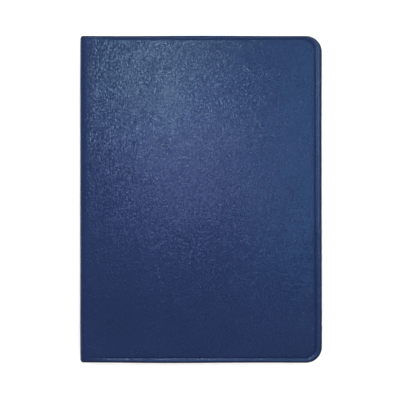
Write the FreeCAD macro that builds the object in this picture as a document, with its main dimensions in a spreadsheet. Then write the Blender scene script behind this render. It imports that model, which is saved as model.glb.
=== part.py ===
"""Pilot logbook with a limp leather cover, as a parametric document.

A section-sewn book of ruled pages in a flexible leather case.  The closed book lies on its back cover:
X runs from the spine (-X) to the fore-edge (+X), Y from the tail (-Y) to the head (+Y), Z is up.
The origin is the middle of the back cover's outer face.  Lengths are in millimetres.
"""
import FreeCAD, Part
import math
import os
import Sketcher

SECTION_COUNT = 12
STITCH_STATIONS = 6
# Two places closer than this are the same place.
SAME = 1e-4

# name, value, what it measures
DIMENSIONS = (
    ("cover_width", 160.0, "spine face to fore-edge"),
    ("cover_height", 216.0, "tail to head"),
    ("cover_corner", 10.5, "radius of the cover's two fore-edge corners"),
    ("closed_thickness", 15.5, "outer face to outer face with the book closed"),
    ("skin_thickness", 0.9, "outer leather"),
    ("board_thickness", 0.6, "flexible card inside the cover"),
    ("flap_thickness", 0.4, "pared leather turned in over the card"),
    ("endpaper_thickness", 0.15, "pastedowns and flyleaves"),
    ("panel_start", 3.0, "spine face to the stiffened part of a cover"),
    ("recess_start", 2.0, "spine face to where a cover's recesses run out past its open side"),
    ("board_start", 4.0, "spine face to a board's inner edge"),
    ("head_rim", 2.2, "leather beyond the board at the head"),
    ("tail_rim", 3.4, "leather beyond the board at the tail"),
    ("fore_rim", 4.3, "leather beyond the board at the fore-edge"),
    ("board_corner", 7.0, "radius of a board's fore-edge corners"),
    ("flap_width", 14.0, "turn-in, measured from the cover's edge"),
    ("flap_corner", 2.0, "radius where two turn-ins meet"),
    ("outer_round", 0.6, "rounding of the cover's outer edge"),
    ("end_margin", 4.0, "leather left bare round a pastedown at head and tail"),
    ("fore_margin", 6.0, "leather left bare round a pastedown at the fore-edge"),
    ("page_height", 210.0, "tail to head of a page"),
    ("page_width", 152.4, "fold to fore-edge of a page"),
    ("page_corner", 8.0, "radius of a page's fore-edge corners"),
    ("fold_offset", 2.6, "spine face to the folds of the sections"),
    ("tip_offset", 1.5, "fold line to the pasted edge of a flyleaf"),
    ("cover_gap", 0.1, "play between a pastedown and its flyleaf"),
    ("endpaper_gap", 0.05, "play between a flyleaf and the nearest section"),
    ("section_gap", 0.04, "play between two sections"),
    ("fold_taper", 20.0, "length over which a section thins towards its fold"),
    ("fold_half", 0.04, "half thickness of a section at its fold"),
    ("shoulder_radius", 3.0, "rounding where the spine turns into a cover"),
    ("shoulder_sweep", 60.0, "degrees of that rounding that belong to the spine"),
    ("spine_flap", 10.0, "turn-in at each end of the spine"),
    ("inlay_inset", 0.1, "play beside the strips inside the spine"),
    ("mull_gap", 0.05, "play between the spine lining and the cloth on the sections"),
    ("mull_thickness", 0.25, "open cloth glued over the backs of the sections"),
    ("mull_height", 192.0, "length of that cloth"),
    ("block_inset", 0.3, "what the cloth and the bands stop short of the flyleaves"),
    ("thread_radius", 0.1, "sewing thread"),
    ("thread_offset", 2.33, "spine face to the middle of the thread chains"),
    ("stitch_pitch", 34.0, "distance between two thread chains"),
    ("band_radius", 0.85, "bead of a headband"),
    ("band_offset", 2.9, "spine face to the middle of a headband"),
    ("band_gap", 0.1, "play between a headband and the pages"),
)

doc = FreeCAD.newDocument("pilot_logbook")
sheet = doc.addObject("Spreadsheet::Sheet", "dims")
for row, (alias, value, meaning) in enumerate(DIMENSIONS, start=1):
    sheet.set(f"A{row}", alias)
    sheet.set(f"B{row}", str(value))
    sheet.set(f"C{row}", meaning)
    sheet.setAlias(f"B{row}", alias)
doc.recompute()

# Expressions that several pieces share.
HALF_WIDTH = "dims.cover_width / 2"
HALF_HEIGHT = "dims.cover_height / 2"
UNDER_TURN_IN = "dims.skin_thickness + dims.board_thickness"
LEATHER_STACK = f"({UNDER_TURN_IN} + dims.flap_thickness)"
COVER_STACK = f"({LEATHER_STACK} + dims.endpaper_thickness)"
FLYLEAF_ROOM = "(dims.endpaper_thickness + dims.endpaper_gap)"
BLOCK_START = f"({COVER_STACK} + dims.cover_gap + {FLYLEAF_ROOM})"
SECTION_PITCH = f"((dims.closed_thickness - 2 * {BLOCK_START}) / {SECTION_COUNT})"
FOLD = f"{HALF_WIDTH} - dims.fold_offset"
FORE_EDGE = f"(dims.fold_offset + dims.page_width - {HALF_WIDTH})"
PAGE_HALF = "dims.page_height / 2"


def amount(expression):
    """What an expression comes to with the sizes in the spreadsheet."""
    return float(sheet.evalExpression(expression))


def origin_plane(body, role):
    """One of a body's own origin planes, such as XY_Plane."""
    return next(feature for feature in body.Origin.OriginFeatures if feature.Role == role)


def new_body(name):
    body = doc.addObject("PartDesign::Body", name)
    body.Label = name
    return body


def new_sketch(body, name, role, offset="0"):
    """An empty sketch on an origin plane, lifted along the plane's normal by an expression."""
    sketch = body.newObject("Sketcher::SketchObject", name)
    sketch.AttachmentSupport = (origin_plane(body, role), [""])
    sketch.MapMode = "FlatFace"
    sketch.setExpression("AttachmentOffset.Base.z", offset)
    return sketch


def bind(sketch, name, constraint, expression):
    """Add a dimension to a sketch and drive it from the spreadsheet."""
    index = sketch.addConstraint(constraint)
    sketch.renameConstraint(index, name)
    sketch.setExpression(f"Constraints.{name}", expression)


def pad(body, name, sketch, length, reverse=False, midplane=False):
    feature = body.newObject("PartDesign::Pad", name)
    feature.Profile = sketch
    feature.setExpression("Length", length)
    feature.Reversed = reverse
    feature.Midplane = midplane
    doc.recompute()
    return feature


def pocket(body, name, sketch, length, reverse=False):
    """Cut a recess and make sure that it takes material away."""
    before = body.Shape.Volume
    feature = body.newObject("PartDesign::Pocket", name)
    feature.Profile = sketch
    feature.setExpression("Length", length)
    feature.Reversed = reverse
    doc.recompute()
    if body.Shape.Volume >= before:
        raise RuntimeError(f"{name} cuts nothing")
    return feature


def fillet(body, name, radius, wanted):
    """Round the edges of the body's tip that pass a test."""
    base = body.Tip
    edges = [f"Edge{i}" for i, edge in enumerate(base.Shape.Edges, start=1) if wanted(edge)]
    feature = body.newObject("PartDesign::Fillet", name)
    feature.Base = (base, edges)
    feature.setExpression("Radius", radius)
    doc.recompute()
    return feature


def closed_chain(sketch, corners):
    """Closed run of straight lines through corners given as (x, y)."""
    points = [FreeCAD.Vector(x, y, 0) for x, y in corners]
    for start, end in zip(points, points[1:] + points[:1]):
        sketch.addGeometry(Part.LineSegment(start, end), False)
    count = len(points)
    for side in range(count):
        sketch.addConstraint(Sketcher.Constraint("Coincident", side, 2, (side + 1) % count, 1))


def sheet_outline(sketch, left, right, head, tail, corner):
    """Outline of a flat sheet: square at the spine side, rounded at its two fore-edge corners.

    left, right, head and tail are expressions for the distances from the sketch's origin.
    """
    west, east = -amount(left), amount(right)
    south, north = -amount(tail), amount(head)
    bend = amount(corner)
    point = FreeCAD.Vector
    up = point(0, 0, 1)
    low_circle = Part.Circle(point(east - bend, south + bend, 0), up, bend)
    high_circle = Part.Circle(point(east - bend, north - bend, 0), up, bend)
    sketch.addGeometry([
        Part.LineSegment(point(west, south, 0), point(east - bend, south, 0)),
        Part.ArcOfCircle(low_circle, 1.5 * math.pi, 2 * math.pi),
        Part.LineSegment(point(east, south + bend, 0), point(east, north - bend, 0)),
        Part.ArcOfCircle(high_circle, 0, 0.5 * math.pi),
        Part.LineSegment(point(east - bend, north, 0), point(west, north, 0)),
        Part.LineSegment(point(west, north, 0), point(west, south, 0)),
    ], False)
    sketch.addConstraint([
        Sketcher.Constraint("Tangent", 0, 2, 1, 1),
        Sketcher.Constraint("Tangent", 1, 2, 2, 1),
        Sketcher.Constraint("Tangent", 2, 2, 3, 1),
        Sketcher.Constraint("Tangent", 3, 2, 4, 1),
        Sketcher.Constraint("Coincident", 4, 2, 5, 1),
        Sketcher.Constraint("Coincident", 5, 2, 0, 1),
        Sketcher.Constraint("Horizontal", 0),
        Sketcher.Constraint("Vertical", 2),
        Sketcher.Constraint("Horizontal", 4),
        Sketcher.Constraint("Vertical", 5),
        Sketcher.Constraint("Equal", 1, 3),
    ])
    bind(sketch, "left", Sketcher.Constraint("DistanceX", 0, 1, -1, 1, -west), left)
    bind(sketch, "right", Sketcher.Constraint("DistanceX", -1, 1, 2, 1, east), right)
    bind(sketch, "tail", Sketcher.Constraint("DistanceY", 0, 1, -1, 1, -south), tail)
    bind(sketch, "head", Sketcher.Constraint("DistanceY", -1, 1, 4, 1, north), head)
    bind(sketch, "corner", Sketcher.Constraint("Radius", 1, bend), corner)


def rectangle(sketch, left, right, bottom, top):
    """Rectangle on the spine side: left and right are expressions for distances to -X of the origin."""
    west, east = -amount(left), -amount(right)
    low, high = amount(bottom), amount(top)
    closed_chain(sketch, [(west, low), (east, low), (east, high), (west, high)])
    for side, direction in enumerate(("Horizontal", "Vertical", "Horizontal", "Vertical")):
        sketch.addConstraint(Sketcher.Constraint(direction, side))
    bind(sketch, "left", Sketcher.Constraint("DistanceX", 0, 1, -1, 1, -west), left)
    bind(sketch, "right", Sketcher.Constraint("DistanceX", 2, 1, -1, 1, -east), right)
    bind(sketch, "bottom", Sketcher.Constraint("DistanceY", -1, 1, 0, 1, low), bottom)
    bind(sketch, "top", Sketcher.Constraint("DistanceY", -1, 1, 2, 1, high), top)


class Cover:
    """The layers of one cover, counted inwards from its outer face.

    The back cover's layers grow upwards from the table, the front cover's downwards from the top.
    """

    def __init__(self, side):
        self.side = side
        self.is_front = side == "front"

    def level(self, depth):
        """Height of the plane that lies a given depth inside the outer face."""
        return f"dims.closed_thickness - ({depth})" if self.is_front else depth

    def layer(self, body, name, outline, depth, thickness, cut=False):
        """Pad or pocket a flat layer that starts at a depth and grows into the book."""
        sketch = new_sketch(body, f"{name}_outline", "XY_Plane", self.level(depth))
        sheet_outline(sketch, *outline)
        # A pocket's own direction is against the sketch's normal, a pad's is along it.
        if cut:
            return pocket(body, name, sketch, thickness, reverse=not self.is_front)
        return pad(body, name, sketch, thickness, reverse=self.is_front)

    def outline(self, start, fore, head, tail, corner):
        """Outline of a layer from its distances inside the cover's edges."""
        return (
            f"{HALF_WIDTH} - {start}",
            f"{HALF_WIDTH} - {fore}",
            f"{HALF_HEIGHT} - {head}",
            f"{HALF_HEIGHT} - {tail}",
            corner,
        )

    def board_outline(self, start):
        """Outline that the board fills, inside the three rims."""
        return self.outline(start, "dims.fore_rim", "dims.head_rim", "dims.tail_rim", "dims.board_corner")

    def window_outline(self, start):
        """What the three turn-ins leave open."""
        width = "dims.flap_width"
        return self.outline(start, width, width, width, "dims.flap_corner")

    def leather(self):
        """Outer skin, doubled at the rim, with turn-ins over the board at head, tail and fore-edge."""
        body = new_body(f"{self.side}_cover_leather")
        full = self.outline("dims.panel_start", "0", "0", "0", "dims.cover_corner")
        self.layer(body, "skin_and_turn_ins", full, "0", LEATHER_STACK)
        recess = self.board_outline("dims.recess_start")
        self.layer(body, "board_recess", recess, "dims.skin_thickness", "dims.board_thickness", cut=True)
        window = self.window_outline("dims.recess_start")
        self.layer(body, "turn_in_window", window, UNDER_TURN_IN, "dims.flap_thickness", cut=True)
        outer_face = amount(self.level("0"))
        open_side = amount(f"dims.panel_start - {HALF_WIDTH}")

        def is_outer_rim(edge):
            box = edge.BoundBox
            flat = abs(box.ZMin - outer_face) < SAME and abs(box.ZMax - outer_face) < SAME
            return flat and box.XMax > open_side + SAME

        fillet(body, "outer_rounding", "dims.outer_round", is_outer_rim)
        return body

    def board(self):
        body = new_body(f"{self.side}_cover_board")
        outline = self.board_outline("dims.board_start")
        self.layer(body, "board", outline, "dims.skin_thickness", "dims.board_thickness")
        return body

    def infill(self):
        """Card that levels the board inside the turn-ins."""
        body = new_body(f"{self.side}_cover_infill")
        window = self.window_outline("dims.board_start")
        self.layer(body, "infill", window, UNDER_TURN_IN, "dims.flap_thickness")
        return body

    def pastedown(self):
        body = new_body(f"{self.side}_pastedown")
        outline = self.outline("dims.board_start", "dims.fore_margin", "dims.end_margin", "dims.end_margin",
                               "dims.board_corner")
        self.layer(body, "pastedown", outline, LEATHER_STACK, "dims.endpaper_thickness")
        return body

    def flyleaf(self):
        """Free endpaper, pasted to the outermost section just clear of its fold."""
        body = new_body(f"{self.side}_flyleaf")
        spine_edge = f"{HALF_WIDTH} - dims.fold_offset - dims.tip_offset"
        outline = (spine_edge, FORE_EDGE, PAGE_HALF, PAGE_HALF, "dims.page_corner")
        self.layer(body, "flyleaf", outline, f"{COVER_STACK} + dims.cover_gap", "dims.endpaper_thickness")
        return body


def section(number):
    """Folded section of leaves, number 1 at the front; it thins towards its fold."""
    body = new_body(f"section_{number:02d}")
    sketch = new_sketch(body, "folded_leaves", "XZ_Plane")
    # Number 12 is the lowest, half a pitch above the start of the block.
    middle = f"({BLOCK_START} + {SECTION_PITCH} * ({SECTION_COUNT - number} + 1 / 2))"
    half = f"({SECTION_PITCH} - dims.section_gap) / 2"
    under, over = f"{middle} - {half}", f"{middle} + {half}"
    root_under, root_over = f"{middle} - dims.fold_half", f"{middle} + dims.fold_half"
    root, fore = -amount(FOLD), amount(FORE_EDGE)
    taper = root + amount("dims.fold_taper")
    closed_chain(sketch, [
        (root, amount(root_under)),
        (taper, amount(under)),
        (fore, amount(under)),
        (fore, amount(over)),
        (taper, amount(over)),
        (root, amount(root_over)),
    ])
    sketch.addConstraint([
        Sketcher.Constraint("Horizontal", 1),
        Sketcher.Constraint("Vertical", 2),
        Sketcher.Constraint("Horizontal", 3),
        Sketcher.Constraint("Vertical", 5),
        Sketcher.Constraint("Vertical", 0, 2, 3, 2),
    ])
    bind(sketch, "root", Sketcher.Constraint("DistanceX", 0, 1, -1, 1, -root), FOLD)
    bind(sketch, "taper", Sketcher.Constraint("DistanceX", 0, 1, 0, 2, taper - root), "dims.fold_taper")
    bind(sketch, "fore", Sketcher.Constraint("DistanceX", -1, 1, 2, 1, fore), FORE_EDGE)
    heights = (
        ("under", 1, 1, under),
        ("over", 3, 1, over),
        ("root_under", 0, 1, root_under),
        ("root_over", 4, 2, root_over),
    )
    for name, line, end, expression in heights:
        height = Sketcher.Constraint("DistanceY", -1, 1, line, end, amount(expression))
        bind(sketch, name, height, expression)
    pad(body, "leaves", sketch, "dims.page_height", midplane=True)

    def is_fore_corner(edge):
        box = edge.BoundBox
        upright = box.ZLength > SAME and box.XLength < SAME and box.YLength < SAME
        return upright and abs(box.XMin - fore) < SAME

    fillet(body, "rounded_corners", "dims.page_corner", is_fore_corner)
    return body


def spine_leather():
    """Leather over the back of the book, with the start of both shoulders and a turn-in at each end."""
    body = new_body("spine_leather")
    sketch = new_sketch(body, "back_profile", "XZ_Plane")
    inner_radius = "dims.shoulder_radius - dims.skin_thickness"
    upper_level = "dims.closed_thickness - dims.shoulder_radius"
    left = -amount(HALF_WIDTH)
    outer, inner = amount("dims.shoulder_radius"), amount(inner_radius)
    top = amount(upper_level)
    sweep = math.radians(amount("dims.shoulder_sweep"))
    up = FreeCAD.Vector(0, 0, 1)
    low_centre = FreeCAD.Vector(left + outer, outer, 0)
    high_centre = FreeCAD.Vector(left + outer, top, 0)

    def arc(centre, radius, start, end):
        return Part.ArcOfCircle(Part.Circle(centre, up, radius), start, end)

    outer_low = arc(low_centre, outer, math.pi, math.pi + sweep)
    inner_low = arc(low_centre, inner, math.pi, math.pi + sweep)
    outer_high = arc(high_centre, outer, math.pi - sweep, math.pi)
    inner_high = arc(high_centre, inner, math.pi - sweep, math.pi)
    sketch.addGeometry([
        Part.LineSegment(outer_low.StartPoint, outer_high.EndPoint),
        outer_high,
        Part.LineSegment(outer_high.StartPoint, inner_high.StartPoint),
        inner_high,
        Part.LineSegment(inner_high.EndPoint, inner_low.StartPoint),
        inner_low,
        Part.LineSegment(inner_low.EndPoint, outer_low.EndPoint),
        outer_low,
    ], False)
    sketch.addConstraint([
        Sketcher.Constraint("Tangent", 0, 2, 1, 2),
        Sketcher.Constraint("Perpendicular", 1, 1, 2, 1),
        Sketcher.Constraint("Coincident", 2, 2, 3, 1),
        Sketcher.Constraint("Coincident", 1, 3, 3, 3),
        Sketcher.Constraint("Tangent", 3, 2, 4, 1),
        Sketcher.Constraint("Tangent", 4, 2, 5, 1),
        Sketcher.Constraint("Coincident", 5, 3, 7, 3),
        Sketcher.Constraint("Coincident", 5, 2, 6, 1),
        Sketcher.Constraint("Perpendicular", 6, 2, 7, 2),
        Sketcher.Constraint("Tangent", 7, 1, 0, 1),
        Sketcher.Constraint("Vertical", 0),
        Sketcher.Constraint("Equal", 1, 7),
        Sketcher.Constraint("Equal", 3, 5),
    ])
    bind(sketch, "face", Sketcher.Constraint("DistanceX", 0, 1, -1, 1, -left), HALF_WIDTH)
    bind(sketch, "outer", Sketcher.Constraint("Radius", 1, outer), "dims.shoulder_radius")
    bind(sketch, "inner", Sketcher.Constraint("Radius", 3, inner), inner_radius)
    bind(sketch, "low", Sketcher.Constraint("DistanceY", -1, 1, 0, 1, outer), "dims.shoulder_radius")
    bind(sketch, "high", Sketcher.Constraint("DistanceY", -1, 1, 0, 2, top), upper_level)
    bind(sketch, "low_sweep", Sketcher.Constraint("Angle", 7, sweep), "dims.shoulder_sweep")
    bind(sketch, "high_sweep", Sketcher.Constraint("Angle", 1, sweep), "dims.shoulder_sweep")
    pad(body, "back", sketch, "dims.cover_height", midplane=True)

    # The turn-in at the head: an L that wraps the end of the inlay, seen from above.
    flap = new_sketch(body, "turn_in_profile", "XY_Plane", "dims.shoulder_radius")
    skin_x = f"{HALF_WIDTH} - dims.skin_thickness"
    inlay_x = f"{skin_x} - dims.board_thickness"
    inside_x = f"{inlay_x} - dims.flap_thickness"
    fold_y = f"{HALF_HEIGHT} - dims.head_rim"
    tip_y = f"{HALF_HEIGHT} - dims.spine_flap"
    skin, inlay, inside = -amount(skin_x), -amount(inlay_x), -amount(inside_x)
    end, fold, tip = amount(HALF_HEIGHT), amount(fold_y), amount(tip_y)
    corners = [(skin, end), (skin, fold), (inlay, fold), (inlay, tip), (inside, tip), (inside, end)]
    closed_chain(flap, corners)
    for side in range(len(corners)):
        flap.addConstraint(Sketcher.Constraint("Vertical" if side % 2 == 0 else "Horizontal", side))
    bind(flap, "skin", Sketcher.Constraint("DistanceX", 0, 1, -1, 1, -skin), skin_x)
    bind(flap, "inlay", Sketcher.Constraint("DistanceX", 2, 1, -1, 1, -inlay), inlay_x)
    bind(flap, "inside", Sketcher.Constraint("DistanceX", 4, 1, -1, 1, -inside), inside_x)
    bind(flap, "end", Sketcher.Constraint("DistanceY", -1, 1, 0, 1, end), HALF_HEIGHT)
    bind(flap, "fold", Sketcher.Constraint("DistanceY", -1, 1, 1, 1, fold), fold_y)
    bind(flap, "tip", Sketcher.Constraint("DistanceY", -1, 1, 3, 1, tip), tip_y)
    head_turn_in = pad(body, "head_turn_in", flap, "dims.closed_thickness - 2 * dims.shoulder_radius")
    mirror = body.newObject("PartDesign::Mirrored", "tail_turn_in")
    mirror.Originals = [head_turn_in]
    mirror.MirrorPlane = (origin_plane(body, "XZ_Plane"), [""])
    body.Tip = mirror
    doc.recompute()
    return body


def spine_strip(name, near, thickness, length, edge):
    """Upright strip inside the spine.

    near is its distance from the spine face, edge its distance from the top and the bottom of the book.
    """
    body = new_body(name)
    sketch = new_sketch(body, "strip_profile", "XZ_Plane")
    outside = f"{HALF_WIDTH} - ({near})"
    rectangle(sketch, outside, f"{outside} - ({thickness})", edge, f"dims.closed_thickness - ({edge})")
    pad(body, "strip", sketch, length, midplane=True)
    return body


def upright_cylinder(name, radius, offset, across, edge):
    """Cylinder standing along Z at an offset from the spine face and a place across the book."""
    cylinder = doc.addObject("Part::Cylinder", name)
    cylinder.setExpression("Radius", radius)
    cylinder.setExpression("Height", f"dims.closed_thickness - 2 * ({edge})")
    cylinder.setExpression("Placement.Base.x", f"{offset} - {HALF_WIDTH}")
    cylinder.setExpression("Placement.Base.y", across)
    cylinder.setExpression("Placement.Base.z", edge)
    return cylinder


def sewing_thread():
    """Chains of thread across the backs of the sections, one at each sewing station."""
    edge = f"{BLOCK_START} + dims.block_inset"
    chains = []
    for station in range(STITCH_STATIONS):
        across = f"dims.stitch_pitch * ({station} - {STITCH_STATIONS - 1} / 2)"
        name = f"thread_chain_{station + 1}"
        chains.append(upright_cylinder(name, "dims.thread_radius", "dims.thread_offset", across, edge))
    fuse = doc.addObject("Part::MultiFuse", "sewing_thread")
    fuse.Shapes = chains
    return fuse


def headband(name, direction):
    """Bead between the spine and the pages' ends; direction is 1 at the head, -1 at the tail."""
    across = f"({direction}) * ({PAGE_HALF} + dims.band_gap + dims.band_radius)"
    edge = f"{BLOCK_START} - {FLYLEAF_ROOM} + dims.block_inset"
    return upright_cylinder(name, "dims.band_radius", "dims.band_offset", across, edge)


subparts = []
for cover_side in (Cover("back"), Cover("front")):
    subparts.append(cover_side.leather())
    subparts.append(cover_side.board())
    subparts.append(cover_side.infill())
    subparts.append(cover_side.pastedown())
    subparts.append(cover_side.flyleaf())
for section_number in range(1, SECTION_COUNT + 1):
    subparts.append(section(section_number))

FLAT_BACK = "dims.shoulder_radius + dims.inlay_inset"
INLAY_LENGTH = "dims.cover_height - 2 * dims.head_rim"
LINING_LENGTH = "dims.cover_height - 2 * dims.spine_flap"
BEHIND_LINING = f"{LEATHER_STACK} + dims.mull_gap"
MULL_EDGE = f"{BLOCK_START} + dims.block_inset"
STRIPS = (
    ("spine_inlay", "dims.skin_thickness", "dims.board_thickness", INLAY_LENGTH, FLAT_BACK),
    ("spine_lining", UNDER_TURN_IN, "dims.flap_thickness", LINING_LENGTH, FLAT_BACK),
    ("spine_mull", BEHIND_LINING, "dims.mull_thickness", "dims.mull_height", MULL_EDGE),
)
subparts.append(spine_leather())
for strip in STRIPS:
    subparts.append(spine_strip(*strip))
subparts.append(sewing_thread())
subparts.append(headband("head_band", "1"))
subparts.append(headband("tail_band", "-1"))
doc.recompute()

for thing in doc.Objects:
    if "Invalid" in thing.State or "Error" in thing.State:
        raise RuntimeError(f"{thing.Label} did not recompute: {thing.State}")
for subpart in subparts:
    if subpart.Shape.isNull() or not subpart.Shape.isValid():
        raise RuntimeError(f"{subpart.Label} has no valid shape")

os.makedirs("parts", exist_ok=True)
for subpart in subparts:
    subpart.Shape.exportStep(f"parts/{subpart.Label}.step")
    box = subpart.Shape.BoundBox
    print(f"{subpart.Label:22s} {subpart.Shape.Volume:10.1f} mm3  solids {len(subpart.Shape.Solids)}"
          f"  x {box.XMin:8.2f} {box.XMax:8.2f}  y {box.YMin:8.2f} {box.YMax:8.2f}"
          f"  z {box.ZMin:6.2f} {box.ZMax:6.2f}")
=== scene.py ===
"""Looks of the pilot logbook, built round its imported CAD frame.  Lengths are in metres."""
import math
import random

import bmesh
import bpy
import numpy as np
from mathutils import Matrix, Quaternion, Vector, noise


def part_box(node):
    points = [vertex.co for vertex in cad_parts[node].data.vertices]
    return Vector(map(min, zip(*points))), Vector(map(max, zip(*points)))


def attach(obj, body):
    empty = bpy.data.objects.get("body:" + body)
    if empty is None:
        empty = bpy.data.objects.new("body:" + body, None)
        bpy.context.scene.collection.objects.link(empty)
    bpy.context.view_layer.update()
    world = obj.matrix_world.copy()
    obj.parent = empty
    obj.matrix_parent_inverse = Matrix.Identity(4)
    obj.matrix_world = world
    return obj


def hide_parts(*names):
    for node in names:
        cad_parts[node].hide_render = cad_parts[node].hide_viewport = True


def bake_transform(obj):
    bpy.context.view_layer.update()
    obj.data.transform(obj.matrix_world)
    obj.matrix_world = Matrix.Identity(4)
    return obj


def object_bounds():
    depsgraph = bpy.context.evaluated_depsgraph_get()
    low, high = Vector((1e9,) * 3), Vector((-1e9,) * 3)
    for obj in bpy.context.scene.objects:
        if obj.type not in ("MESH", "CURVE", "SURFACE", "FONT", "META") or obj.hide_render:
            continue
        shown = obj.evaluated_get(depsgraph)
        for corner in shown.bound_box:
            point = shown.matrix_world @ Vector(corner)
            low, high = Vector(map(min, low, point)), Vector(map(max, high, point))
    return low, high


MM = 0.001

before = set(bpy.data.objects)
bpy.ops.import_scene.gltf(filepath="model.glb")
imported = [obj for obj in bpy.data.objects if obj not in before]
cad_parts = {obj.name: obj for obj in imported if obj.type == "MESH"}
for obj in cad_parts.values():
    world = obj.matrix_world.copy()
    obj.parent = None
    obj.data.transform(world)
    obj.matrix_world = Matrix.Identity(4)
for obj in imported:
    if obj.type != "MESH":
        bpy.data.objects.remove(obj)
cad_low, cad_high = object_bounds()
random.seed(7)

# ---------------------------------------------------------------- places taken from the frame

SPINE_X, FORE_X = cad_low.x, cad_high.x
TAIL_Y, HEAD_Y = cad_low.y, cad_high.y
THICK = cad_high.z
board_low, board_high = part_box("front_cover_board")
infill_low, infill_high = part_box("front_cover_infill")
fly_low, fly_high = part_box("front_flyleaf")
FOLD_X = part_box("section_01")[0].x
SKIN = THICK - board_high.z

# ---------------------------------------------------------------- sizes that only the looks need

SHOULDER = 3.0 * MM        # rounding where the spine turns into a cover
CAP_ROUND = 1.6 * MM       # rounding of the spine's two ends, seen from above
COVER_CORNER = 10.5 * MM
BOARD_CORNER = 7.0 * MM
PAGE_CORNER = 8.0 * MM
FLAP_WIDTH = 14.0 * MM     # turn-in, measured from the cover's edge
GRID_REACH = 8.0 * MM      # width of the inner grid's border, where it meets the round corners
LEAVES = 8                 # leaves in a section
LEAF_FILL = 0.93           # share of its pitch that a leaf fills
FOLD_SHARE = 0.1           # share of its thickness and of its offset that a leaf keeps at the fold
FOLD_TAPER = 20.0 * MM     # length over which a section thins towards its fold
BAND_TURN = 0.55 * MM      # pitch of the thread round a headband
PEBBLES = 1100.0           # pebbles of the grain in a metre
LEAN = 0.15                # scales how far the pebbles lean
FLOOR_DROP = 0.2 * MM      # floor below the book, so that the two don't flicker

# The case is laid out flat: s runs over the leather from mid-spine to the fore-edge.
PANEL_S = THICK / 2 - SHOULDER + SHOULDER * math.pi / 2
EDGE_S = PANEL_S + FORE_X - SPINE_X - SHOULDER
ARC_STEPS = 16
HEAD_STEPS = 62
FORE_STEPS = 64
BEND_STEPS = 14


def smooth(low, high, value):
    """Smooth step from 0 at low to 1 at high."""
    share = min(1.0, max(0.0, (value - low) / (high - low)))
    return share * share * (3 - 2 * share)


def spread(start, end, count):
    """count values from start to end, both included."""
    return [start + (end - start) * i / (count - 1) for i in range(count)]


def add_mesh(name, verts, faces, uvs=None, values=None, flat_faces=0):
    """Mesh object with a UV per vertex in metres and named point attributes.

    The last flat_faces faces are flat shaded and have sharp edges, the others are smooth.
    """
    mesh = bpy.data.meshes.new(name)
    mesh.from_pydata([tuple(v) for v in verts], [], faces)
    if uvs is not None:
        layer = mesh.uv_layers.new(name="flat")
        picked = np.array(uvs, np.float32)[[loop.vertex_index for loop in mesh.loops]]
        layer.data.foreach_set("uv", picked.ravel())
    for key, numbers in (values or {}).items():
        attribute = mesh.attributes.new(key, "FLOAT", "POINT")
        attribute.data.foreach_set("value", np.array(numbers, np.float32))
    mesh.polygons.foreach_set("use_smooth", [True] * len(mesh.polygons))
    net = bmesh.new()
    net.from_mesh(mesh)
    bmesh.ops.recalc_face_normals(net, faces=net.faces)
    net.faces.ensure_lookup_table()
    for face in net.faces[len(net.faces) - flat_faces:]:
        face.smooth = False
        for edge in face.edges:
            edge.smooth = False
    net.to_mesh(mesh)
    net.free()
    mesh.update()
    piece = bpy.data.objects.new(name, mesh)
    bpy.context.scene.collection.objects.link(piece)
    return piece


def dress(piece, material):
    """Gives a piece one material."""
    piece.data.materials.clear()
    piece.data.materials.append(material)
    return piece


# ---------------------------------------------------------------- node materials

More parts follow.
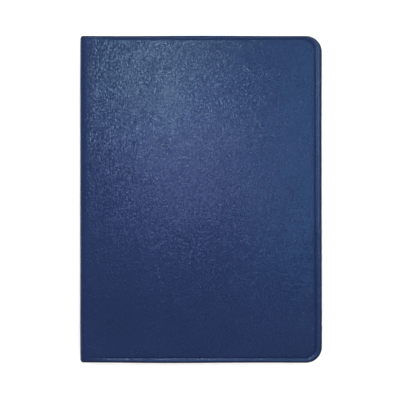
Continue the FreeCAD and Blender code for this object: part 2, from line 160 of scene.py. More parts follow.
class Nodes:
    """Short way to write a node tree: each call adds a node and returns an output socket."""

    def __init__(self, name):
        self.material = bpy.data.materials.new(name)
        self.material.use_nodes = True
        self.tree = self.material.node_tree
        self.tree.nodes.clear()
        self.shader = self.tree.nodes.new("ShaderNodeBsdfPrincipled")
        output = self.tree.nodes.new("ShaderNodeOutputMaterial")
        self.tree.links.new(self.shader.outputs["BSDF"], output.inputs["Surface"])

    def put(self, socket, value):
        if isinstance(value, bpy.types.NodeSocket):
            self.tree.links.new(value, socket)
        else:
            socket.default_value = value

    def set(self, **values):
        """Sets the shader's sockets; an underscore stands for a space."""
        for key, value in values.items():
            self.put(self.shader.inputs[key.replace("_", " ")], value)

    def math(self, operation, first, second=0.0, third=0.5):
        node = self.tree.nodes.new("ShaderNodeMath")
        node.operation = operation
        for socket, value in zip(node.inputs, (first, second, third)):
            self.put(socket, value)
        return node.outputs[0]

    def mix(self, share, first, second):
        node = self.tree.nodes.new("ShaderNodeMix")
        node.data_type = "RGBA"
        self.put(node.inputs["Factor"], share)
        self.put(node.inputs["A"], first if isinstance(first, bpy.types.NodeSocket) else (*first, 1.0))
        self.put(node.inputs["B"], second if isinstance(second, bpy.types.NodeSocket) else (*second, 1.0))
        return node.outputs["Result"]

    def ramp(self, value, stops):
        """Colour ramp; stops are (place, grey) pairs."""
        node = self.tree.nodes.new("ShaderNodeValToRGB")
        elements = node.color_ramp.elements
        while len(elements) < len(stops):
            elements.new(0.5)
        for element, (place, grey) in zip(elements, stops):
            element.position = place
            element.color = (grey, grey, grey, 1.0)
        self.put(node.inputs["Fac"], value)
        return node.outputs["Color"]

    def where(self, kind="UV"):
        node = self.tree.nodes.new("ShaderNodeTexCoord")
        return node.outputs[kind]

    def stretch(self, vector, scale, turn=0.0):
        node = self.tree.nodes.new("ShaderNodeMapping")
        self.put(node.inputs["Vector"], vector)
        node.inputs["Scale"].default_value = scale
        node.inputs["Rotation"].default_value = (0.0, 0.0, turn)
        return node.outputs["Vector"]

    def noise(self, vector, scale, detail=3.0, roughness=0.5):
        node = self.tree.nodes.new("ShaderNodeTexNoise")
        self.put(node.inputs["Vector"], vector)
        node.inputs["Scale"].default_value = scale
        node.inputs["Detail"].default_value = detail
        node.inputs["Roughness"].default_value = roughness
        return node.outputs["Fac"]

    def vector(self, operation, first, second, third=(0.0, 0.0, 0.0)):
        node = self.tree.nodes.new("ShaderNodeVectorMath")
        node.operation = operation
        for socket, value in zip(node.inputs, (first, second, third)):
            self.put(socket, value)
        return node.outputs["Value" if operation == "DOT_PRODUCT" else "Vector"]

    def pebbles(self, vector):
        """Heights in millimetres of facets that lean by chance, and 0..1 in the valleys between them."""
        node = self.tree.nodes.new("ShaderNodeTexVoronoi")
        node.voronoi_dimensions = "2D"
        self.put(node.inputs["Vector"], vector)
        node.inputs["Scale"].default_value = PEBBLES
        offset = self.vector("SUBTRACT", vector, node.outputs["Position"])
        chance = self.vector("SUBTRACT", node.outputs["Color"], (0.5, 0.5, 0.5))
        lean = self.math("MULTIPLY", self.vector("DOT_PRODUCT", offset, chance), 1000.0)
        return lean, self.ramp(node.outputs["Distance"], [(0.30, 0.0), (0.65, 1.0)])

    def attribute(self, name):
        node = self.tree.nodes.new("ShaderNodeAttribute")
        node.attribute_name = name
        return node.outputs["Fac"]

    def axes(self, vector):
        node = self.tree.nodes.new("ShaderNodeSeparateXYZ")
        self.put(node.inputs[0], vector)
        return node.outputs

    def bump(self, height, strength, distance):
        node = self.tree.nodes.new("ShaderNodeBump")
        self.put(node.inputs["Height"], height)
        node.inputs["Strength"].default_value = strength
        node.inputs["Distance"].default_value = distance
        return node.outputs["Normal"]


def leather_material():
    """Navy calf with a fine pebbled grain: each pebble is a flat facet that leans its own way."""
    n = Nodes("navy_leather")
    flat = n.where("UV")
    # The grain bends a little, so that its cells don't look ruled.
    wander = n.vector("MULTIPLY_ADD", n.noise(flat, 70.0, 2.0), (0.4 * MM, 0.4 * MM, 0.0), flat)
    # The pebbles are a little longer than wide, and lie one way or the other in patches.
    patch = n.ramp(n.noise(flat, 45.0, 2.0), [(0.42, 0.0), (0.58, 1.0)])
    one_way = n.pebbles(n.stretch(wander, (1.2, 0.9, 1.0), math.radians(35)))
    other_way = n.pebbles(n.stretch(wander, (1.2, 0.9, 1.0), math.radians(-50)))
    lean = n.mix(patch, one_way[0], other_way[0])
    valley = n.mix(patch, one_way[1], other_way[1])
    fine = n.noise(flat, 1500.0, 2.0, 0.6)
    # Height in millimetres, which the bump's distance turns into metres.
    height = n.math("ADD", n.math("MULTIPLY", lean, LEAN), n.math("MULTIPLY", valley, -0.016))
    height = n.math("ADD", height, n.math("MULTIPLY", fine, 0.003))
    normal = n.bump(height, 1.0, MM)

    tone = n.ramp(n.noise(flat, 22.0, 4.0, 0.6), [(0.3, 0.0), (0.7, 1.0)])
    colour = n.mix(tone, (0.0100, 0.0178, 0.053), (0.0122, 0.0214, 0.062))
    # Painted shade: the bottom of the groove round the panel is darkened.
    colour = n.mix(n.math("MULTIPLY", n.attribute("painted_groove_shade"), 0.45), colour, (0.004, 0.007, 0.026))
    # Painted shade: the leather is darkened at its cut edge, where the surface turns away from the light;
    # the same share also makes it rougher.
    painted_edge_shade_and_roughness = n.attribute("painted_edge_shade_and_roughness")
    colour = n.mix(painted_edge_shade_and_roughness, colour, (0.0025, 0.0035, 0.009))
    # The crest of the rim's ridge is painted a lighter navy.
    colour = n.mix(n.math("MULTIPLY", n.attribute("ridge_crest_lighter"), 0.2), colour, (0.035, 0.060, 0.125))
    rough = n.math("MULTIPLY_ADD", valley, 0.16, 0.12)
    rough = n.math("MAXIMUM", rough, n.math("MULTIPLY", painted_edge_shade_and_roughness, 0.75))
    n.set(Base_Color=colour, Normal=normal, Roughness=rough)
    n.set(Specular_IOR_Level=0.4, Specular_Tint=(0.85, 0.95, 1.0, 1.0))
    return n.material


def paper_material(name, light, dark, ruled=False):
    """Matt paper with fibres; ruled paper carries the lines of a blank flight table on both faces."""
    n = Nodes(name)
    flat = n.where("UV")
    fibre = n.noise(n.stretch(flat, (1.0, 2.2, 1.0)), 900.0, 4.0, 0.7)
    cloud = n.noise(flat, 30.0, 3.0)
    colour = n.mix(n.math("MULTIPLY_ADD", fibre, 0.6), light, dark)
    colour = n.mix(n.math("MULTIPLY", cloud, 0.25), colour, dark)
    if ruled:
        colour = ruled_table(n, flat, colour)
    n.set(Base_Color=colour, Roughness=0.86, Specular_IOR_Level=0.2)
    n.set(Normal=n.bump(fibre, 0.25, 0.00004))
    return n.material


def ruled_table(n, flat, colour):
    """Rows, columns and a header band, as on a blank logbook page.

    The UV is in metres: across the page from its fold, and along the fold from the page's middle.
    """
    across, along = n.axes(flat)[0], n.axes(flat)[1]
    thin_half, thick_half = 0.14 * MM, 0.3 * MM

    def line_at(value, place, half=thin_half):
        return n.math("LESS_THAN", n.math("ABSOLUTE", n.math("SUBTRACT", value, place)), half)

    def between(value, low, high):
        return n.math("MULTIPLY", n.math("GREATER_THAN", value, low), n.math("LESS_THAN", value, high))

    def either(first, second):
        return n.math("MAXIMUM", first, second)

    left, right, bottom, top, header = 0.012, 0.146, -0.094, 0.094, 0.072
    row = 0.0083
    # Counted from far above the page, because the remainder has to come from a positive number.
    phase = n.math("MODULO", n.math("SUBTRACT", header + 24 * row, along), row)
    rows = line_at(phase, row / 2)
    rows = n.math("MULTIPLY", rows, between(along, bottom, header))
    columns = 0.0
    for place in (0.028, 0.047, 0.066, 0.078, 0.090, 0.102, 0.112, 0.122, 0.134):
        columns = either(columns, line_at(across, place))
    frame_lines = either(line_at(across, left, thick_half), line_at(across, right, thick_half))
    for place in (bottom, header, top, header + 0.011, bottom + 2 * row):
        frame_lines = either(frame_lines, line_at(along, place, thick_half))
    inside = n.math("MULTIPLY", between(across, left - thick_half, right + thick_half),
                    between(along, bottom - thick_half, top + thick_half))
    band = n.math("MULTIPLY", inside, n.math("GREATER_THAN", along, header))
    colour = n.mix(n.math("MULTIPLY", band, 0.35), colour, (0.42, 0.55, 0.62))
    thin = n.math("MULTIPLY", either(rows, columns), inside)
    colour = n.mix(n.math("MULTIPLY", thin, 0.6), colour, (0.16, 0.28, 0.38))
    thick = n.math("MULTIPLY", frame_lines, inside)
    return n.mix(n.math("MULTIPLY", thick, 0.8), colour, (0.06, 0.12, 0.22))


def card_material(name, light, dark):
    """Grey-brown card with flecks, for the stiffeners inside the covers."""
    n = Nodes(name)
    place = n.where("Object")
    fleck = n.noise(place, 700.0, 5.0, 0.75)
    cloud = n.noise(place, 60.0, 2.0)
    colour = n.mix(n.ramp(fleck, [(0.35, 0.0), (0.7, 1.0)]), dark, light)
    colour = n.mix(n.math("MULTIPLY", cloud, 0.3), colour, dark)
    n.set(Base_Color=colour, Roughness=0.92, Specular_IOR_Level=0.15, Normal=n.bump(fleck, 0.4, 0.00006))
    return n.material


def mull_material():
    """Open starched cloth: two sets of threads over each other."""
    n = Nodes("starched_mull")
    x, y, z = n.axes(n.where("Object"))
    pitch = 0.0009
    up = n.math("SINE", n.math("MULTIPLY", z, 2 * math.pi / pitch))
    along = n.math("SINE", n.math("MULTIPLY", y, 2 * math.pi / pitch))
    weave = n.math("MAXIMUM", up, along)
    colour = n.mix(n.ramp(weave, [(0.2, 0.0), (0.8, 1.0)]), (0.36, 0.32, 0.24), (0.80, 0.77, 0.68))
    n.set(Base_Color=colour, Roughness=0.9, Specular_IOR_Level=0.15, Normal=n.bump(weave, 0.6, 0.00008))
    return n.material


def band_material():
    """Silk bead of a headband: turns of navy and cream thread."""
    n = Nodes("striped_band")
    turn = n.axes(n.where("UV"))[1]
    stripe = n.math("SINE", n.math("MULTIPLY", turn, 2 * math.pi / (4 * BAND_TURN)))
    fibre = n.noise(n.stretch(n.where("UV"), (1.0, 6.0, 1.0)), 1500.0, 2.0)
    colour = n.mix(n.math("GREATER_THAN", stripe, 0.0), (0.03, 0.06, 0.20), (0.82, 0.78, 0.66))
    colour = n.mix(n.math("MULTIPLY", fibre, 0.35), colour, (0.10, 0.10, 0.14))
    n.set(Base_Color=colour, Roughness=0.5, Specular_IOR_Level=0.35, Normal=n.bump(fibre, 0.3, 0.00005))
    return n.material


def thread_material():
    """Waxed linen thread with a twist."""
    n = Nodes("linen_thread")
    x, y, z = n.axes(n.where("Object"))
    twist = n.math("SINE", n.math("MULTIPLY", n.math("ADD", z, y), 2 * math.pi / 0.0005))
    colour = n.mix(n.ramp(twist, [(0.2, 0.0), (0.8, 1.0)]), (0.62, 0.57, 0.44), (0.88, 0.84, 0.72))
    n.set(Base_Color=colour, Roughness=0.6, Specular_IOR_Level=0.3, Normal=n.bump(twist, 0.5, 0.00005))
    return n.material


# ---------------------------------------------------------------- the leather case

def cap_round(s, y):
    """How far the ends of the spine are rounded off towards the middle of the book."""
    # The rounding fades out within the first radian of the shoulder.
    turned = min(1.0, max(0.0, (s - THICK / 2 + SHOULDER) / SHOULDER))
    from_face = SHOULDER * (1 - math.cos(turned)) + max(0.0, s - PANEL_S)
    share = max(0.0, 1 - from_face / CAP_ROUND)
    drop = CAP_ROUND * (1 - math.sqrt(1 - share * share))
    return math.copysign(drop * smooth(HEAD_Y - 8 * MM, HEAD_Y, abs(y)), y)


def skin_point(s, y, depth):
    """Point of the front half of the case: s runs from mid-spine over the shoulder to the fore-edge."""
    flat = THICK / 2 - SHOULDER
    y -= cap_round(s, y)
    if s < flat:
        return Vector((SPINE_X + depth, y, THICK / 2 + s))
    if s < PANEL_S:
        angle = (s - flat) / SHOULDER
        radius = SHOULDER - depth
        centre_x, centre_z = SPINE_X + SHOULDER, THICK - SHOULDER
        return Vector((centre_x - radius * math.cos(angle), y, centre_z + radius * math.sin(angle)))
    return Vector((SPINE_X + SHOULDER + s - PANEL_S, y, THICK - depth))


def corner_path(edge, top, bottom, radius, stations):
    """Plan outline through head, fore-edge and tail, one point per station.

    A station is (stretch, share); stretches are head, head_arc, fore, tail_arc and tail.
    """
    points = []
    start, high, low = edge - radius, top - radius, bottom + radius
    for stretch, share in stations:
        if stretch == "head":
            points.append((share * start, top))
        elif stretch == "head_arc":
            angle = math.pi / 2 * (1 - share)
            points.append((start + radius * math.cos(angle), high + radius * math.sin(angle)))
        elif stretch == "fore":
            points.append((edge, high + share * (low - high)))
        elif stretch == "tail_arc":
            angle = -math.pi / 2 * share
            points.append((start + radius * math.cos(angle), low + radius * math.sin(angle)))
        else:
            points.append(((1 - share) * start, bottom))
    return points


def case_grid():
    """Shares of the head's straight stretch, and the plan stations round the rim."""
    fine = spread(0.0, PANEL_S / (EDGE_S - COVER_CORNER), BEND_STEPS + 1)
    coarse = spread(fine[-1], 1.0, HEAD_STEPS - BEND_STEPS + 1)
    head = fine[:-1] + coarse
    stations = [("head", share) for share in head]
    stations += [("head_arc", share) for share in spread(0.0, 1.0, ARC_STEPS + 1)[1:]]
    stations += [("fore", share) for share in spread(0.0, 1.0, FORE_STEPS + 1)[1:]]
    stations += [("tail_arc", share) for share in spread(0.0, 1.0, ARC_STEPS + 1)[1:]]
    stations += [("tail", 1.0 - share) for share in reversed(head[:-1])]
    return head, stations


def inner_lines(head):
    """Grid lines of the flat middle: distances from mid-spine, and heights from head to tail."""
    half_arc = ARC_STEPS // 2
    end_s = infill_high.x - FORE_X + EDGE_S
    top, bottom = infill_high.y, infill_low.y
    columns = [share * (end_s - GRID_REACH) for share in head]
    columns += spread(end_s - GRID_REACH, end_s, half_arc + 1)[1:]
    rows = spread(top, top - GRID_REACH, half_arc + 1)
    rows += spread(top - GRID_REACH, bottom + GRID_REACH, FORE_STEPS + 1)[1:]
    rows += spread(bottom + GRID_REACH, bottom, half_arc + 1)[1:]
    return columns, rows


def outline_bow(s, y):
    """Slight unevenness of the cut edge, in metres outwards; the tail also bows out in its middle."""
    tail = 0.2 * MM * math.sin(math.pi * (s / EDGE_S)) if y < 0 else 0.0
    return 0.12 * MM * math.sin(s * 61 + y * 23) + tail


def panel_relief(s, y):
    """How far the middle of the panel lies below its highest level."""
    pillow = 0.12 * (abs(y) / HEAD_Y) ** 4 + 0.10 * smooth(0.75, 1.0, s / EDGE_S)
    wave = 0.09 * noise.noise(Vector((s * 22, y * 22, 3.7)))
    ripple = 0.03 * noise.noise(Vector((s * 70, y * 70, 1.3)))
    return (pillow + 0.06 + wave + ripple) * MM


# Rim section from the panel outwards, round the edge, back under it and round the end of the turn-in.
# (ring, share, depth): ring "in" runs from the inner grid (0) to the board's edge (1),
# ring "rim" from the board's edge (0) to the outline (1), depth in millimetres.
GROOVE_DEPTH = 0.47
RIM_OVER = (
    ("in", 0.30, 0.00), ("in", 0.55, 0.00), ("in", 0.75, 0.01), ("in", 0.86, 0.03), ("in", 0.92, 0.08),
    ("in", 0.96, 0.18), ("in", 0.985, 0.33),
    ("rim", 0.02, GROOVE_DEPTH), ("rim", 0.12, 0.50), ("rim", 0.22, 0.42), ("rim", 0.34, 0.24),
    ("rim", 0.48, 0.12), ("rim", 0.62, 0.10), ("rim", 0.75, 0.17), ("rim", 0.86, 0.31),
    ("rim", 0.94, 0.52), ("rim", 0.985, 0.80), ("rim", 1.0, 1.06),
)
RIM_UNDER = (
    ("rim", 0.985, 1.34), ("rim", 0.93, 1.60), ("rim", 0.84, 1.78), ("rim", 0.70, 1.87),
    ("rim", 0.40, 1.90), ("rim", 0.0, 1.90), ("in", 0.80, 1.90), ("in", 0.50, 1.90), ("in", 0.01, 1.90),
)
RIM_INSIDE = (
    ("in", 0.01, 1.50), ("in", 0.50, 1.50), ("in", 0.99, 1.50), ("in", 1.0, 0.90), ("in", 0.5, 0.90),
)


def case_half(name):
    """Closed skin of the front half: outer face, rolled rim, turn-ins and inner face."""
    head, stations = case_grid()
    columns, rows = inner_lines(head)
    outline = corner_path(EDGE_S, HEAD_Y, TAIL_Y, COVER_CORNER, stations)
    board = corner_path(board_high.x - FORE_X + EDGE_S, board_high.y, board_low.y, BOARD_CORNER, stations)
    grid_edge = [(s, rows[0]) for s in columns] + [(columns[-1], y) for y in rows[1:]]
    grid_edge += [(s, rows[-1]) for s in reversed(columns[:-1])]
    verts, uvs, faces = [], [], []
    # Point attributes: painted shade in the groove, a lighter ridge crest, and painted shade with more
    # roughness at the cut edge.
    values = {"painted_groove_shade": [], "ridge_crest_lighter": [], "painted_edge_shade_and_roughness": []}

    def add(s, y, depth, flat, painted_groove_shade_share=0.0, ridge_crest_lighter_share=0.0, painted_edge_shade_and_roughness_share=0.0):
        verts.append(skin_point(s, y, depth))
        uvs.append(flat)
        for numbers, number in zip(values.values(), (painted_groove_shade_share, ridge_crest_lighter_share, painted_edge_shade_and_roughness_share)):
            numbers.append(number)
        return len(verts) - 1

    def sheet(depth_at, flip):
        """Inner grid of the outer or the inner face."""
        net = [[add(s, y, depth_at(s, y), (s, y)) for s in columns] for y in rows]
        for r in range(len(rows) - 1):
            for c in range(len(columns) - 1):
                face = (net[r][c], net[r + 1][c], net[r + 1][c + 1], net[r][c + 1])
                faces.append(face[::-1] if flip else face)
        return net

    def border(net):
        return net[0] + [row[-1] for row in net[1:]] + net[-1][-2::-1]

    def ring(kind, share, depth_mm, over):
        """One line of the rim's section, all the way round; over says that it lies on the outer face."""
        made = []
        for place, (outer, middle, inner) in enumerate(zip(outline, board, grid_edge)):
            near, far = (inner, middle) if kind == "in" else (middle, outer)
            s = near[0] + (far[0] - near[0]) * share
            y = near[1] + (far[1] - near[1]) * share
            on_rim = share if kind == "rim" else 0.0
            # The groove runs out before it reaches the spine.
            fade = smooth(PANEL_S + 3 * MM, PANEL_S + 20 * MM, s)
            depth = depth_mm * MM
            painted_groove_shade_share, ridge_crest_lighter_share = 0.0, 0.0
            if over:
                if on_rim < 0.4:
                    depth = depth * (0.25 + 0.75 * fade)
                # Painted shade along the bottom of the groove.
                if on_rim < 0.3:
                    painted_groove_shade_share = max(0.0, 1 - abs(depth_mm - GROOVE_DEPTH) / 0.2) * fade
                # The crest of the rim's ridge is painted lighter.
                if kind == "rim":
                    ridge_crest_lighter_share = math.exp(-((share - 0.55) / 0.2) ** 2) * fade
                depth += panel_relief(s, y) * (1 - on_rim)
            elif kind == "in" and stations[place][0].endswith("arc") and depth_mm > 1.8:
                # Small pleats where the turn-in goes round a corner.
                depth += 0.07 * MM * math.cos(stations[place][1] * math.pi * 9)
            outwards = Vector((outer[0] - inner[0], outer[1] - inner[1]))
            push = outwards.normalized() * outline_bow(s, y) * on_rim
            # Under the cover the grain runs on past the edge, so that it doesn't repeat the outer face.
            turned = 0.0 if over else 6 * MM * (1 - share if kind == "rim" else 2 - share)
            flat = Vector((s, y)) + push + outwards * (turned / FLAP_WIDTH)
            # Painted shade darkens the leather within about a millimetre of its cut edge, where the surface
            # turns away from the light; the same share makes it rougher.
            from_edge = (1 - share) * math.dist(outer, middle) if kind == "rim" else math.inf
            painted_edge_shade_and_roughness_share = 1 - smooth(0.5 * MM, 1.3 * MM, from_edge)
            made.append(add(s + push[0], y + push[1], depth, flat, painted_groove_shade_share, ridge_crest_lighter_share, painted_edge_shade_and_roughness_share))
        return made

    def skirt(first, second):
        for i in range(len(first) - 1):
            faces.append((first[i], first[i + 1], second[i + 1], second[i]))

    top_net = sheet(panel_relief, False)
    loops = [border(top_net)]
    loops += [ring(kind, share, depth, True) for kind, share, depth in RIM_OVER]
    loops += [ring(kind, share, depth, False) for kind, share, depth in RIM_UNDER]
    loops += [ring(kind, share, depth, False) for kind, share, depth in RIM_INSIDE]
    bottom_net = sheet(lambda s, y: SKIN, True)
    loops.append(border(bottom_net))
    for first, second in zip(loops, loops[1:]):
        skirt(second, first)

    # Close the cut at mid-spine: the two ends of the rim section and the strip between them.
    before_cut = len(faces)
    left_top = [row[0] for row in top_net]
    left_bottom = [row[0] for row in bottom_net]
    for r in range(len(rows) - 1):
        faces.append((left_top[r + 1], left_top[r], left_bottom[r], left_bottom[r + 1]))
    for end in (0, -1):
        run = [loop[end] for loop in loops]
        faces.append(tuple(run) if end == 0 else tuple(reversed(run)))
    return add_mesh(name, verts, faces, uvs, values, flat_faces=len(faces) - before_cut)


def mirror_to_back(piece, name):
    """Copy of a front piece for the back cover, reflected in the middle plane of the book."""
    twin = piece.copy()
    twin.data = piece.data.copy()
    twin.name = twin.data.name = name
    bpy.context.scene.collection.objects.link(twin)
    for vertex in twin.data.vertices:
        vertex.co.z = THICK - vertex.co.z
    twin.data.flip_normals()
    return twin


def flip_flat(piece):
    """Runs the UV of a mirrored piece on past mid-spine, so that its grain doesn't repeat the front's."""
    for item in piece.data.uv_layers["flat"].data:
        item.uv.x = -item.uv.x
    return piece


# ---------------------------------------------------------------- paper

def round_reach(half, along, radius):
    """Half height of a leaf at a place that lies along (0 to radius) into its rounded corner."""
    return half - radius + math.sqrt(max(0.0, radius ** 2 - along ** 2))


def round_end(start, radius):
    """Columns over a rounded corner, closer together towards its end."""
    return [start + radius * math.sin(angle) for angle in spread(0.0, math.pi / 2, 8)]


def once_round(net):
    """The outer points of a net in their order, once round."""
    return ([line[0] for line in net] + net[-1][1:] + [line[-1] for line in reversed(net[:-1])]
            + net[0][-2:0:-1])


def leaf_mesh(name, leaves, rows):
    """Leaves of paper, each a closed thin sheet.

    A leaf is its columns and a function that gives a column's x, half height and z on one face (1 or -1).
    """
    verts, faces, uvs = [], [], []
    for columns, place in leaves:
        sides = []
        for face in (1, -1):
            net = []
            for column in columns:
                x, reach, z = place(column, face)
                net.append(list(range(len(verts), len(verts) + len(rows))))
                verts += [(x, reach * row, z) for row in rows]
                uvs += [(column, reach * row) for row in rows]
            sides.append(net)
        top, bottom = sides
        for i in range(len(columns) - 1):
            for j in range(len(rows) - 1):
                faces.append((top[i][j], top[i + 1][j], top[i + 1][j + 1], top[i][j + 1]))
                faces.append((bottom[i][j + 1], bottom[i + 1][j + 1], bottom[i + 1][j], bottom[i][j]))
        above, below = [once_round(net) for net in sides]
        for i in range(len(above)):
            k = (i + 1) % len(above)
            faces.append((above[i], below[i], below[k], above[k]))
    return add_mesh(name, verts, faces, uvs)


def sheet_stack(name, leaves, root_x, z_middle):
    """Leaves that are square at the fold and rounded at the fore-edge.

    A leaf is (length, half height, offset from the middle, thickness, taper share at the root).
    """
    near_fold = (0.0, 0.7, 1.4, 2.1, 2.8, 3.5, 4.2, 6.0, 9.0, 12.0, 16.0, 20.0, 50.0, 85.0, 120.0)

    def leaf(length, half, offset, thickness, share_at_root):
        start = length - PAGE_CORNER

        def place(c, face):
            reach = half if c < start else round_reach(half, c - start, PAGE_CORNER)
            share = share_at_root + (1 - share_at_root) * min(1.0, c / FOLD_TAPER)
            return root_x + c, reach, z_middle + (offset + face * thickness / 2) * share

        return [c * MM for c in near_fold] + round_end(start, PAGE_CORNER), place

    piece = leaf_mesh(name, [leaf(*sizes) for sizes in leaves], spread(-1.0, 1.0, 9))
    piece.data.polygons.foreach_set("use_smooth", [False] * len(piece.data.polygons))
    return piece


def section_pages(node):
    """A section as its separate leaves, gathered at the fold."""
    low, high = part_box(node)
    middle = (low.z + high.z) / 2
    pitch = (high.z - low.z) / LEAVES
    shift = random.uniform(-0.10, 0.10) * MM
    leaves = []
    for leaf in range(LEAVES):
        length = high.x - low.x + shift + random.uniform(-0.10, 0.06) * MM
        half = high.y + random.uniform(-0.12, 0.0) * MM
        offset = (leaf - (LEAVES - 1) / 2) * pitch
        leaves.append((length, half, offset, pitch * LEAF_FILL, FOLD_SHARE))
    piece = sheet_stack(f"{node}_leaves", leaves, low.x, middle)
    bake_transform(piece)
    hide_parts(node)
    return piece


def flyleaf(side):
    """Free half of an endpaper, one sheet from the fold to the fore-edge."""
    node = f"{side}_flyleaf"
    low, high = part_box(node)
    middle = (low.z + high.z) / 2
    leaf = (high.x - FOLD_X, high.y, 0.0, high.z - low.z, 1.0)
    piece = sheet_stack(f"{side}_flyleaf_sheet", [leaf], FOLD_X, middle)
    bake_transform(piece)
    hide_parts(node)
    return piece


def pastedown():
    """Front endpaper: glued inside the cover, with a free strip that runs to the fold of the flyleaf."""
    low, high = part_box("front_pastedown")
    start = high.x - BOARD_CORNER

    def place(x, face):
        reach = round_reach(high.y, x - start, BOARD_CORNER) if x > start else high.y
        middle = (fly_low.z + fly_high.z) / 2 if x == FOLD_X else (low.z + high.z) / 2
        return x, reach, middle + face * (high.z - low.z) / 2

    columns = [FOLD_X] + spread(low.x, start, 9) + round_end(start, BOARD_CORNER)[1:]
    return leaf_mesh("front_pastedown_sheet", [(columns, place)], spread(-1.0, 1.0, 13))


def band(node):
    """Headband bead: a core wound with two colours of thread."""
    low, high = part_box(node)
    centre = (low + high) / 2
    radius = (high.x - low.x) / 2
    steps = int((high.z - low.z) / BAND_TURN * 6)
    around = 20
    verts, faces, uvs = [], [], []
    for i in range(steps + 1):
        z = low.z + (high.z - low.z) * i / steps
        swell = 0.90 + 0.10 * abs(math.sin(math.pi * (z - low.z) / BAND_TURN))
        close = 0.72 if i in (0, steps) else 1.0
        for k in range(around):
            angle = 2 * math.pi * k / around
            lean = 0.12 * MM * math.sin(angle)
            verts.append((centre.x + radius * swell * close * math.cos(angle),
                          centre.y + radius * swell * close * math.sin(angle), z))
            uvs.append((radius * angle, z + lean))
    for i in range(steps):
        for k in range(around):
            following = (k + 1) % around
            base, above = i * around, (i + 1) * around
            faces.append((base + k, base + following, above + following, above + k))
    faces.append(tuple(reversed(range(around))))
    faces.append(tuple(range(steps * around, (steps + 1) * around)))
    piece = add_mesh(f"{node}_bead", verts, faces, uvs)
    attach(piece, "spine")
    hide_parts(node)
    return piece


# ---------------------------------------------------------------- put it together

leather = leather_material()
pages = paper_material("page_paper", (0.66, 0.63, 0.55), (0.56, 0.52, 0.43), ruled=True)
endpaper = paper_material("endpaper", (0.30, 0.36, 0.45), (0.22, 0.28, 0.37))
lining_paper = paper_material("lining_paper", (0.55, 0.48, 0.37), (0.42, 0.35, 0.26))
board_card = card_material("board_card", (0.50, 0.44, 0.34), (0.30, 0.25, 0.18))
infill_card = card_material("infill_card", (0.66, 0.62, 0.53), (0.46, 0.42, 0.34))
mull = mull_material()
silk = band_material()
linen = thread_material()

front_case = dress(case_half("cover_leather_front"), leather)
back_case = flip_flat(mirror_to_back(front_case, "cover_leather_back"))
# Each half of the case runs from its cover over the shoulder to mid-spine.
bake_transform(front_case)
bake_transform(back_case)
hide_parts("front_cover_leather", "spine_leather")
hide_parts("back_cover_leather")

front_paste = dress(pastedown(), endpaper)
back_paste = mirror_to_back(front_paste, "back_pastedown_sheet")
for side, paste, face_z in (("front", front_paste, THICK), ("back", back_paste, 0.0)):
    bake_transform(paste)
    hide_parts(f"{side}_pastedown")
    dress(flyleaf(side), endpaper)

for number in range(1, 13):
    dress(section_pages(f"section_{number:02d}"), pages)
for node in ("head_band", "tail_band"):
    dress(band(node), silk)

CAD_FINISH = {
    "front_cover_board": board_card, "back_cover_board": board_card, "spine_inlay": board_card,
    "front_cover_infill": infill_card, "back_cover_infill": infill_card, "spine_lining": lining_paper,
    "spine_mull": mull, "sewing_thread": linen,
}
for node, material in CAD_FINISH.items():
    dress(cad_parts[node], material)

# ---------------------------------------------------------------- studio

def floor_material():
    """Pale floor that glows a little, so that it stays white right up to the book."""
    n = Nodes("pale_floor")
    speck = n.noise(n.where("Object"), 40.0, 2.0)
    n.set(Base_Color=n.mix(n.math("MULTIPLY", speck, 0.2), (0.90, 0.90, 0.90), (0.87, 0.87, 0.87)))
    n.set(Roughness=0.9, Specular_IOR_Level=0.1, Emission_Color=(1.0, 1.0, 1.0, 1.0), Emission_Strength=0.2)
    return n.material


def floor():
    size = 3.0
    corners = [(-size, -size), (size, -size), (size, size), (-size, size)]
    piece = add_mesh("floor", [(x, y, -FLOOR_DROP) for x, y in corners], [(0, 1, 2, 3)])
    dress(piece, floor_material())


# name, place, (width, height), watts, colour, turn in degrees, shows in reflections
KEYS = (
    ("key_head", (-0.034, 0.140, 0.32), (0.016, 0.17), 0.22, (0.56, 0.84, 1.0), 0.0, True),
    ("key_rim", (0.0, 0.250, 0.30), (0.30, 0.07), 0.17, (0.35, 0.85, 1.0), 0.0, True),
    ("key_middle", (-0.012, 0.033, 0.32), (0.10, 0.10), 0.15, (0.45, 0.50, 1.0), 10.0, True),
    ("key_fore", (0.100, 0.04, 0.32), (0.04, 0.22), 0.13, (0.16, 0.55, 1.0), 0.0, True),
    ("key_tail", (0.060, -0.08, 0.32), (0.10, 0.08), 0.05, (0.6, 0.6, 1.0), 0.0, False),
)
# name, place, watts
FILLS = (
    ("fill_left", (-0.7, 0.1, 1.5), 13.2),
    ("fill_right", (0.7, 0.1, 1.5), 13.2),
    ("fill_tail", (0.0, -0.8, 1.5), 10.8),
    ("fill_head", (0.0, 0.8, 1.5), 10.8),
)


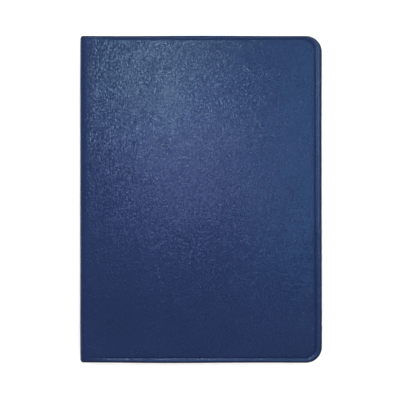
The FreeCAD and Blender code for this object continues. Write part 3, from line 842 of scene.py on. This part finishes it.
def softbox(name, place, target, size, watts, colour=(1.0, 1.0, 1.0), turn=0.0, glossy=False):
    """Area light at a place, aimed at a target; only a glossy one shows in reflections."""
    data = bpy.data.lights.new(name, "AREA")
    data.shape = "RECTANGLE"
    data.size, data.size_y = size
    data.energy = watts
    data.color = colour
    lamp = bpy.data.objects.new(name, data)
    lamp.location = place
    lamp.visible_camera = False
    lamp.visible_glossy = glossy
    lamp.rotation_mode = "QUATERNION"
    aim = (Vector(target) - Vector(place)).to_track_quat("-Z", "Y")
    lamp.rotation_quaternion = aim @ Quaternion((0.0, 0.0, 1.0), math.radians(turn))
    bpy.context.scene.collection.objects.link(lamp)


def lights():
    """Coloured keys over the cover, mirrored in its grain, and white fills for the even light."""
    for name, place, size, watts, colour, turn, glossy in KEYS:
        softbox(name, place, (place[0], place[1], 0.0), size, watts, colour, turn, glossy)
    for name, place, watts in FILLS:
        softbox(name, place, (0.0, 0.0, 0.0), (1.0, 1.0), watts)


def camera():
    """Looks straight down on the closed book, as the photo does."""
    data = bpy.data.cameras.new("camera")
    view = bpy.data.objects.new("camera", data)
    bpy.context.scene.collection.objects.link(view)
    distance = 1.6
    seen_width = 0.2642
    data.sensor_width = 36.0
    data.lens = data.sensor_width * distance / seen_width
    view.location = (-0.0005, -0.0005, THICK + distance)
    data.clip_start, data.clip_end = 0.05, 20.0
    bpy.context.scene.camera = view


def studio_world():
    """Dark surround, a little lighter near the horizon than overhead."""
    world = bpy.data.worlds.new("studio")
    world.use_nodes = True
    tree = world.node_tree
    back = tree.nodes["Background"]
    place = tree.nodes.new("ShaderNodeTexCoord")
    split = tree.nodes.new("ShaderNodeSeparateXYZ")
    ramp = tree.nodes.new("ShaderNodeMapRange")
    ramp.interpolation_type = "SMOOTHSTEP"
    ramp.inputs["From Min"].default_value = 0.25
    ramp.inputs["From Max"].default_value = 0.75
    ramp.inputs["To Min"].default_value = 1.3
    ramp.inputs["To Max"].default_value = 0.12
    tree.links.new(place.outputs["Generated"], split.inputs[0])
    tree.links.new(split.outputs["Z"], ramp.inputs["Value"])
    tree.links.new(ramp.outputs["Result"], back.inputs["Strength"])
    bpy.context.scene.world = world


floor()
lights()
camera()
studio_world()
bpy.context.scene.view_settings.view_transform = "Standard"
